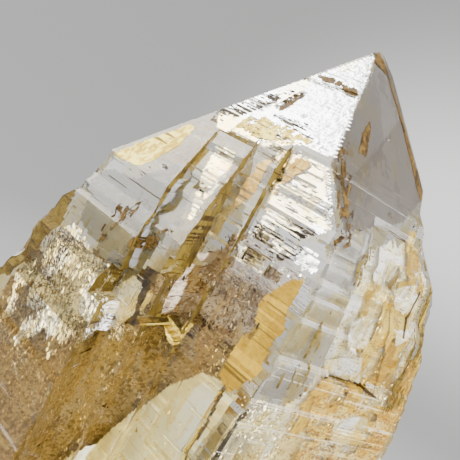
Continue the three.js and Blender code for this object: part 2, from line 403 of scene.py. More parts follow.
def growthLineTree():
    net, given, made = newShapeTree("growthLines", {
        "Int": "Seed", "Vector": "Facing, Along",
        "Float": "Density, Least Length, Most Length, Least Height, Most Height, Least Depth, Most Depth"})
    toward = net.dot(net.shape("InputNormal"), given["Facing"])
    scatter = net.shape("DistributePointsOnFaces", {
        "Mesh": given["Geometry"], "Density": given["Density"], "Seed": given["Seed"],
        "Selection": net.compared("GREATER_THAN", toward, leastLineFacing)})
    sizes = []
    for step, label in enumerate(("Length", "Height", "Depth")):
        seed = net.plus(given["Seed"], step * lineSeedStep)
        sizes.append(net.drawn(seed, given["Least " + label], given["Most " + label]))
    size = net.joined(sizes[0], sizes[1], net.times(sizes[2], 2.0))  # half of each box stands outside
    placed = net.shape("InstanceOnPoints", {
        "Points": scatter, "Instance": net.shape("MeshCube"), "Scale": size,
        "Rotation": net.turned(given["Facing"], given["Along"])})
    net.finish(placed, given["Finish"], made)
    return net.tree


def cutGrowthLines(lines):
    tree = growthLineTree()
    for seed, (name, differing) in enumerate(lines.items(), firstLineSeed):
        s = baseLines | differing
        turn = s.get("turn", sideTurn.get(name))
        values = {"Facing": facing(turn, s["rise"]), "Along": facing(turn + 90), "Density": s["density"],
                  "Seed": seed}
        for key in ("length", "height", "depth"):
            values["Least " + key.title()] = s[key][0] * mm
            values["Most " + key.title()] = s[key][1] * mm
        grooves = newObject("grooves", runTree(body, tree, values))
        cut = body.modifiers.new("cut", "BOOLEAN")
        cut.operation = "DIFFERENCE"
        cut.solver = "MANIFOLD"
        cut.object = grooves
        mesh = evaluated(body)
        body.modifiers.remove(cut)
        print("growth lines on", name, len(grooves.data.polygons) // 6, "body faces", len(mesh.polygons))
        if len(mesh.polygons) > len(body.data.polygons):
            body.data = mesh
        bpy.data.objects.remove(grooves)


cutGrowthLines(growthLines)
body.data.name = "crystalBody"


# shader groups that the finishes share
stainGrain = {
    "sideShift": (0.31, 0.77, 0.13),
    "shiftScale": 0.4,
    "blockDepth": 0.05,
    "randomness": 0.8,
    "stretch": (1.0, 0.22, 1.0),
    "streakScale": 420.0,
    "fineScale": 2600.0,
    "coverShares": (0.4, 0.9),
    "whole": 1.25,
    "edge": (-0.03, 0.05),
    "shadeShares": (0.6, 0.4),
    "patchEdge": (1.03, 0.93),
}


def faceGridGroup(s):
    net, given, made = newGroup("faceGrid", {"Vector": "Place, Facing"}, {"Vector": "Grid"})
    along = net.vector("NORMALIZE", net.vector("CROSS_PRODUCT", (0, 0, 1), given["Facing"]))
    side = net.times(net.dot(given["Facing"], s["sideShift"]), s["shiftScale"])  # sets the sides apart
    net.feed(net.joined(net.dot(given["Place"], along), net.height(given["Place"]), side), made["Grid"])
    return net.tree


def growthStainGroup(s):
    net, given, made = newGroup(
        "growthStain", {"Vector": "Grid", "Float": "Amount, Block Width, Block Height, Grain"},
        {"Float": "Mask, Shade"})
    blockSize = net.joined(given["Block Width"], given["Block Height"], s["blockDepth"])
    cell = net.cells(net.vector("DIVIDE", given["Grid"], blockSize), s["randomness"])
    streaks = net.noise(net.stretched(given["Grid"], s["stretch"]), s["streakScale"], 4.0, 0.6)
    grain = net.noise(given["Grid"], s["fineScale"], 3.0, 0.7)
    total = net.plus(net.blend((cell, streaks), s["coverShares"]), net.times(grain, given["Grain"]))
    mask = net.ramp(net.minus(total, net.minus(s["whole"], given["Amount"])), *s["edge"])
    net.feed(mask, made["Mask"])
    net.feed(net.blend((streaks, grain), s["shadeShares"]), made["Shade"])
    return net.tree


def placedPatchGroup(s):
    net, given, made = newGroup("placedPatch", {
        "Vector": "Place, Centre, Across, Outward",
        "Float": "Half Width, Half Height, Half Depth, Lean, Raggedness"}, {"Float": "Mask"})
    away = net.apart(given["Place"], given["Centre"])
    up = net.height(away)
    side = net.minus(net.dot(away, given["Across"]), net.times(up, given["Lean"]))
    deep = net.dot(away, given["Outward"])
    width, height, depth = [net.unsigned(net.over(part, given["Half " + label])) for part, label in
                            ((side, "Width"), (up, "Height"), (deep, "Depth"))]
    reach = net.plus(net.larger(net.larger(width, height), depth), given["Raggedness"])
    net.feed(net.ramp(reach, *s["patchEdge"]), made["Mask"])
    return net.tree


faceGrid = faceGridGroup(stainGrain)
growthStain = growthStainGroup(stainGrain)
placedPatch = placedPatchGroup(stainGrain)


def faceGridOf(net, place):
    outward = net.node("ShaderNodeNewGeometry").outputs["True Normal"]
    return outward, net.use(faceGrid, {"Place": place, "Facing": outward})["Grid"]


# clear quartz with iron stain on its growth faces
# stained places: side, across, drop below the tip, out, half width, half height, lean, raggedness (mm)
stainPlaces = [
    ("frontLeft", 4.6, 28.0, 18.8, 1.1, 5.2, -0.1, 0.9),
    ("frontLeft", -1.7, 47.0, 28.4, 0.8, 2.6, 0.1, 0.5),
    ("frontLeft", 2.3, 45.0, 27.6, 0.8, 3.4, 0.0, 0.6),
    ("frontRight", 8.0, 50.2, 28.2, 9.0, 0.5, 0.0, 0.5),
    ("frontRight", 9.0, 54.4, 28.7, 9.0, 0.7, 0.0, 0.6),
]
# the walls between the upright strips of the front left side hold the most stain: each pair is
# where it ends and where it is full
wallStain = {
    "turned": (0.86, 0.8),
    "middle": 0.002,
    "reach": (0.0145, 0.0135),
    "ahead": (0.011, 0.012),
    "height": (-0.021, -0.023),
    "worn": (-0.12, -0.06),
}
quartzSettings = {
    "ior": 1.544,
    "clear": (0.985, 0.98, 0.965),
    "gold": (0.98, 0.84, 0.34),
    "tan": (0.86, 0.62, 0.22),
    "insideTint": (1.0, 0.93, 0.74),
    "density": 6.0,
    "stainFree": 0.108,
    "stainFull": 0.062,
    "stainLeast": 0.28,
    "stainMost": 0.58,
    "stainRough": 0.24,
    "blockWidth": 0.004,
    "blockHeight": 0.009,
    "grain": 0.25,
    "patchDepth": 0.009,
    "raggedScale": 700.0,
    "toneSplit": (0.4, 0.62),
    "cutRough": 0.45,
    "cutTop": (0.0003, 0.0001),
    "lineStretch": (0.04, 1.0, 1.0),
    "lineScale": 2600.0,
    "etchScale": 1500.0,
    "reliefShares": (0.25, 0.08),
    "relief": 0.5,
    "reliefDepth": 0.00008,
}


def stripWalls(net, place, outward, ragged, s):
    front = facing(sideTurn["frontLeft"])
    away = net.apart(place, tipPoint)
    across = net.dot(away, facing(sideTurn["frontLeft"] + 90))
    turned = net.ramp(net.dot(outward, front), *s["turned"])
    near = net.ramp(net.unsigned(net.plus(across, s["middle"])), *s["reach"])
    ahead = net.ramp(net.dot(away, front), *s["ahead"])
    low = net.ramp(net.height(away), *s["height"])
    both = net.times(net.times(turned, near), net.times(ahead, low))
    return net.times(both, net.ramp(ragged, *s["worn"]))


def quartzMaterial(s):
    mat, net, shader, place = newMaterial("clearQuartz", {"Transmission Weight": 1.0, "IOR": s["ior"]})
    outward, grid = faceGridOf(net, place)
    height = net.height(place)
    amount = net.ramp(height, s["stainFree"], s["stainFull"], s["stainLeast"], s["stainMost"])
    stain = net.use(growthStain, {
        "Grid": grid, "Amount": amount, "Block Width": s["blockWidth"], "Block Height": s["blockHeight"],
        "Grain": s["grain"]})
    mask = stain["Mask"]
    ragged = net.minus(net.noise(place, s["raggedScale"], 4.0, 0.7), 0.5)
    for side, across, drop, out, halfWidth, halfHeight, lean, raggedness in stainPlaces:
        turn = sideTurn[side]
        patch = net.use(placedPatch, {
            "Place": place, "Centre": onSide(side, across, drop, out), "Across": facing(turn + 90),
            "Outward": facing(turn), "Half Width": halfWidth * mm, "Half Height": halfHeight * mm,
            "Half Depth": s["patchDepth"], "Lean": lean, "Raggedness": net.times(ragged, raggedness)})
        mask = net.larger(mask, patch["Mask"])
    mask = net.larger(mask, stripWalls(net, place, outward, ragged, wallStain))
    stained = net.mix(net.ramp(stain["Shade"], *s["toneSplit"]), s["tan"], s["gold"])
    net.feed(net.mix(mask, s["clear"], stained), shader["Base Color"])
    rough = net.times(mask, net.times(stain["Shade"], s["stainRough"]))
    sawn = net.ramp(height, *s["cutTop"], 0.0, s["cutRough"])  # the flat cut at the bottom is matte
    net.feed(net.larger(rough, sawn), shader["Roughness"])
    lines = net.noise(net.stretched(grid, s["lineStretch"]), s["lineScale"], 2.0)
    etched = net.noise(grid, s["etchScale"], 2.0)
    relief = net.blend((lines, etched), s["reliefShares"])
    net.feed(net.bump(relief, s["relief"], s["reliefDepth"]), shader["Normal"])
    inside = {"Color": (*s["insideTint"], 1), "Density": s["density"]}
    volume = mat.node_tree.nodes["Material Output"].inputs["Volume"]
    net.feed(net.out("ShaderNodeVolumeAbsorption", inside), volume)
    return mat


oneFinish(body.data, quartzMaterial(quartzSettings))
dressed(body)
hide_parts("crystal")
print("body made")

# sheets inside the crystal: healed cracks, stained veils and crusts that lie a little way under a side; some
# plain grey and dark sheets are painted shade and painted backdrop grey
# a look's colors are its two tones and its lines; each look says only where it differs from the base
baseLook = {"lines": 0.66, "metallic": 0.0, "rough": (0.3, 0.5), "tone": 110.0, "split": (0.35, 0.65),
            "relief": 1.0, "streak": (1.0, 0.5, 1.0), "scale": 250.0, "blocks": 0.3, "patches": 0.0,
            "swirl": 0.0, "gloss": 0.5}
sheetLooks = {
    "mirror": {"colors": ((0.97, 0.96, 0.94), (0.07, 0.06, 0.052), (0.03, 0.02, 0.015)), "metallic": 1.0,
        "rough": (0.06, 0.22), "tone": 130.0, "split": (0.34, 0.46), "relief": 0.35, "scale": 300.0,
        "blocks": 0.35},
    "stripes": {"colors": ((0.98, 0.96, 0.92), (0.22, 0.11, 0.035), (0.02, 0.015, 0.011)), "lines": 0.57,
        "metallic": 1.0, "rough": (0.08, 0.25), "tone": 120.0, "split": (0.28, 0.42), "relief": 0.1,
        "streak": (0.2, 1.0, 1.0), "scale": 500.0, "blocks": 0.2, "patches": 0.12},
    # the next look is painted shade: a plain grey sheet laid under the shoulder
    "shadow": {"colors": ((0.26, 0.257, 0.25), (0.215, 0.21, 0.203), (0.06, 0.045, 0.03)), "relief": 0.2},
    # the next look is painted shade: a dark grey sheet over the sloped part of the shoulder
    "soot": {"colors": ((0.12, 0.117, 0.11), (0.085, 0.081, 0.075), (0.03, 0.025, 0.02)), "relief": 0.2},
    # the next look is painted backdrop grey: a light grey sheet where the backdrop shows through the clear
    # quartz
    "ash": {"colors": ((0.44, 0.42, 0.375), (0.32, 0.295, 0.25), (0.3, 0.24, 0.16)), "metallic": 0.1,
        "rough": (0.2, 0.35), "tone": 160.0, "relief": 0.2, "patches": 0.2},
    # the next look is painted backdrop grey: a dark grey sheet where the right tip face shows the grey
    # backdrop
    "smoke": {"colors": ((0.18, 0.156, 0.13), (0.122, 0.1, 0.078), (0.22, 0.16, 0.11)), "metallic": 0.1,
        "rough": (0.18, 0.35), "relief": 0.15},
    "pale": {"colors": ((0.97, 0.96, 0.76), (0.72, 0.68, 0.42), (0.3, 0.22, 0.06)), "lines": 0.68,
        "metallic": 0.3, "rough": (0.3, 0.4), "tone": 150.0, "split": (0.35, 0.6), "relief": 0.2,
        "streak": (1.0, 0.4, 1.0), "scale": 180.0, "blocks": 0.0},
    "silverBlocks": {"colors": ((0.97, 0.96, 0.9), (0.8, 0.68, 0.3), (0.3, 0.2, 0.08)), "lines": 0.62,
        "metallic": 0.2, "rough": (0.15, 0.4), "tone": 420.0, "split": (0.38, 0.5), "relief": 0.6,
        "streak": (1.0, 0.3, 1.0), "scale": 260.0, "blocks": 0.5, "patches": 0.35},
    "goldLines": {"colors": ((0.99, 0.92, 0.56), (0.92, 0.66, 0.1), (0.42, 0.22, 0.03)), "lines": 0.52,
        "metallic": 0.2, "rough": (0.2, 0.4), "tone": 400.0, "split": (0.4, 0.54), "relief": 0.5,
        "streak": (0.15, 1.0, 1.0), "scale": 420.0, "patches": 0.25},
    "fluff": {"colors": ((0.99, 0.98, 0.96), (0.07, 0.045, 0.02), (0.05, 0.03, 0.01)), "lines": 0.75,
        "rough": (0.35, 0.5), "tone": 450.0, "split": (0.44, 0.49), "relief": 0.5, "streak": (1.0, 0.6, 1.0),
        "scale": 380.0, "blocks": 0.0, "swirl": 1.2},
    "mauve": {"colors": ((0.64, 0.52, 0.38), (0.3, 0.205, 0.13), (0.05, 0.035, 0.025)), "lines": 0.62,
        "rough": (0.2, 0.4), "tone": 500.0, "split": (0.42, 0.58), "streak": (1.0, 0.8, 1.0), "scale": 350.0,
        "patches": 0.2, "swirl": 0.8},
    "deepGold": {"colors": ((0.42, 0.265, 0.022), (0.29, 0.165, 0.012), (0.12, 0.07, 0.01)), "lines": 0.6,
        "tone": 500.0, "split": (0.4, 0.62), "relief": 0.8, "streak": (1.0, 0.25, 1.0), "scale": 300.0,
        "patches": 0.15, "swirl": 0.8, "gloss": 0.1},
    "umber": {"colors": ((0.13, 0.088, 0.018), (0.06, 0.036, 0.006), (0.04, 0.02, 0.004)), "lines": 0.68,
        "tone": 900.0, "split": (0.4, 0.58), "scale": 500.0, "blocks": 0.2, "gloss": 0.1},
    "goldFilm": {"colors": ((0.82, 0.62, 0.11), (0.52, 0.32, 0.025), (0.32, 0.17, 0.04)), "lines": 0.62,
        "tone": 600.0, "split": (0.42, 0.54), "relief": 0.8, "streak": (1.0, 0.25, 1.0), "scale": 300.0,
        "blocks": 0.55, "patches": 0.35},
    "brownCloud": {"colors": ((0.4, 0.3, 0.145), (0.145, 0.1, 0.045), (0.14, 0.08, 0.02)), "lines": 0.74,
        "metallic": 0.1, "rough": (0.25, 0.5), "tone": 300.0, "split": (0.41, 0.57),
        "streak": (1.0, 0.6, 1.0), "scale": 420.0, "blocks": 0.15, "patches": 0.05, "swirl": 1.6,
        "gloss": 0.2},
    "cream": {"colors": ((0.95, 0.76, 0.2), (0.5, 0.34, 0.04), (0.2, 0.13, 0.02)), "lines": 0.63,
        "rough": (0.5, 0.7), "tone": 1600.0, "split": (0.44, 0.54), "streak": (1.0, 0.8, 1.0),
        "scale": 900.0, "swirl": 0.5, "gloss": 0.1},
    "ink": {"colors": ((0.1, 0.07, 0.035), (0.012, 0.009, 0.007), (0.2, 0.16, 0.1)), "lines": 0.6,
        "rough": (0.4, 0.6), "tone": 1200.0, "split": (0.44, 0.6), "relief": 0.6, "streak": (0.07, 1.0, 1.0),
        "scale": 2200.0, "blocks": 0.0, "gloss": 0.08},
    "ochre": {"colors": ((0.18, 0.122, 0.021), (0.082, 0.052, 0.008), (0.05, 0.028, 0.006)), "lines": 0.56,
        "rough": (0.4, 0.6), "tone": 900.0, "split": (0.42, 0.58), "streak": (1.0, 0.12, 1.0),
        "scale": 1200.0, "blocks": 0.0, "patches": 0.15, "gloss": 0.1},
    "tanFilm": {"colors": ((0.76, 0.52, 0.16), (0.48, 0.29, 0.06), (0.22, 0.15, 0.08)), "lines": 0.56,
        "rough": (0.4, 0.6), "tone": 1500.0, "split": (0.42, 0.58), "streak": (1.0, 0.6, 1.0),
        "scale": 1100.0, "blocks": 0.2, "gloss": 0.1},
    "rust": {"colors": ((0.13, 0.075, 0.018), (0.03, 0.017, 0.005), (0.02, 0.01, 0.004)),
        "rough": (0.3, 0.6), "tone": 1500.0, "split": (0.42, 0.6), "scale": 1100.0, "blocks": 0.2,
        "gloss": 0.08},
}
sheetGrain = {
    "detailStretch": (1.0, 0.7, 1.0),
    "driftShare": 0.15,
    "shadeShares": (0.6, 0.4),
    "patchSteps": (400.0, 170.0, 1.0),
    "patchRandomness": 0.7,
    "blockSteps": (330.0, 150.0, 1.0),
    "blockRandomness": 0.8,
    "roughSplit": (0.35, 0.65),
    "lineStretch": (0.015, 1.0, 1.0),
    "lineScale": 1700.0,
    "lineDrift": 0.2,
    "lineEdge": 0.03,
    "dentScale": 900.0,
    "dentDepth": 0.0003,
}


def sheetMaterial(name, s, g):
    first, second, line = s["colors"]
    plain = {"Metallic": s["metallic"], "Specular IOR Level": s["gloss"]}
    mat, net, shader, place = newMaterial(name, plain)
    grid = faceGridOf(net, place)[1]
    detail = net.noise(net.stretched(grid, g["detailStretch"]), s["tone"], 3.0, 0.65, s["swirl"])
    drift = net.noise(grid, s["tone"] * g["driftShare"], 2.0)
    patch = net.cells(net.stretched(grid, g["patchSteps"]), g["patchRandomness"])
    patches = net.times(net.minus(patch, 0.5), s["patches"])
    shade = net.plus(net.blend((detail, drift), g["shadeShares"]), patches)
    tone = net.mix(net.ramp(shade, *s["split"]), second, first)
    level = net.noise(net.stretched(grid, g["lineStretch"]), g["lineScale"], 2.0, 0.6)
    level = net.plus(level, net.times(net.minus(drift, 0.5), g["lineDrift"]))
    lines = net.ramp(level, s["lines"], s["lines"] + g["lineEdge"])
    net.feed(net.mix(lines, tone, line), shader["Base Color"])
    net.feed(net.ramp(shade, *g["roughSplit"], *s["rough"]), shader["Roughness"])
    dents = net.noise(grid, g["dentScale"], 2.0, 0.6)
    net.feed(net.bump(dents, s["relief"], g["dentDepth"]), shader["Normal"])
    return mat


looks = {name: baseLook | differing for name, differing in sheetLooks.items()}
sheetFinishes = {name: sheetMaterial(name, look, sheetGrain) for name, look in looks.items()}

# how far out a sheet starts and its outline lies, and how far in the outline and the crystal are
# sought, in mm
sheetStart = 62.0
outlineOut = 60.0
outlineReach = 10.0
crystalReach = 200.0
leastMark = 0.05  # a block goes when its own mark, or the mean of its corners' marks, is above this


# a sheet is a grid of small growth blocks in front of its side: those that lie in the outline and that
# the stain covers are laid under the surface, and the rest are taken out
def growthSheetTree(g):
    net, given, made = newShapeTree("growthSheet", {
        "Object": "Crystal", "Vector": "Inward, Along, Centre, Streak", "Int": "Smoothing",
        "Float": "Width, Height, Block, Depth, Thickness, Ripple Height, Ripple Scale, Level, Cover, Rim, "
                 "Scale, Blocks, Seed, Least Cover, Least Facing"})
    inward = given["Inward"]
    outward = net.scaled(inward, -1.0)
    flat = net.shape("MeshGrid", {
        "Size X": given["Width"], "Size Y": given["Height"],
        "Vertices X": net.over(given["Width"], given["Block"]),
        "Vertices Y": net.over(given["Height"], given["Block"])})
    front = net.shape("Transform", {
        "Geometry": flat, "Translation": given["Centre"], "Rotation": net.turned(outward, given["Along"])})
    place = net.shape("InputPosition")
    inside = net.cast(given["Geometry"], inward, outlineReach * mm)
    cast = net.cast(net.shapeOf(given["Crystal"]), inward, crystalReach * mm)
    onOutline = net.vector("ADD", place, net.scaled(inward, (sheetStart - outlineOut) * mm))
    nearest = {"Geometry": given["Geometry"], "Sample Position": onOutline}
    rimGap = net.node("GeometryNodeProximity", nearest, target_element="EDGES").outputs["Distance"]
    # the stain: broad streaks and blocks, worn away along the rim
    grid = net.joined(net.dot(place, given["Along"]), net.height(place), given["Seed"])
    broad = net.noise(net.stretched(grid, given["Streak"]), given["Scale"], 5.0, 0.65)
    cell = net.cells(net.stretched(grid, g["blockSteps"]), g["blockRandomness"])
    stain = net.times(net.minus(broad, 0.5), 2.0)
    blocky = net.times(net.minus(cell, 0.5), given["Blocks"])
    worn = net.minus(net.ramp(net.over(rimGap, given["Rim"]), 0.0, 1.0), 1.0)
    cover = net.plus(net.plus(stain, blocky), net.plus(given["Cover"], worn))
    bare = net.logic("NOT", net.logic("AND", inside["Is Hit"], cast["Is Hit"]))
    gone = net.logic("OR", bare, net.compared("LESS_THAN", cover, given["Least Cover"]))
    oblique = net.compared("LESS_THAN", net.dot(cast["Hit Normal"], outward), given["Least Facing"])
    missed = net.plus(oblique, net.minus(1.0, cast["Is Hit"]))
    for name, mark, domain in (("gone", gone, "FACE"), ("missed", missed, "POINT")):
        front = net.shape("StoreNamedAttribute", {"Geometry": front, "Name": name, "Value": mark},
                          domain=domain)
    # the way in: to the smoothed surface, or to the surface itself where that is deeper and the sheet
    # isn't level, and on by the depth
    gap = cast["Hit Distance"]
    eased = net.shape("BlurAttribute", {"Iterations": given["Smoothing"], 0: gap})
    lower = net.larger(net.minus(gap, eased), 0.0)
    deepest = net.plus(eased, net.times(lower, net.minus(1.0, given["Level"])))
    ripple = net.times(net.noise(place, given["Ripple Scale"], 3.0), given["Ripple Height"])
    travel = net.plus(net.plus(deepest, given["Depth"]), ripple)
    moved = net.shape("SetPosition", {"Geometry": front, "Offset": net.scaled(inward, travel)})
    goneMark, missedMark = [net.shape("InputNamedAttribute", {"Name": name}) for name in ("gone", "missed")]
    unwanted = net.compared("GREATER_THAN", net.larger(goneMark, missedMark), leastMark)
    trimmed = net.shape("DeleteGeometry", {"Geometry": moved, "Selection": unwanted}, domain="FACE")
    raised = net.shape("ExtrudeMesh", {
        "Mesh": trimmed, "Offset": outward, "Offset Scale": given["Thickness"], "Individual": False})
    both = net.node("GeometryNodeJoinGeometry")
    for half in (net.shape("FlipFaces", {"Mesh": trimmed}), raised):
        net.feed(half, both.inputs[0])
    merged = net.shape("MergeByDistance", {"Geometry": both.outputs[0], "Distance": 1e-7})
    net.finish(merged, given["Finish"], made)
    return net.tree


growthSheet = growthSheetTree(sheetGrain)

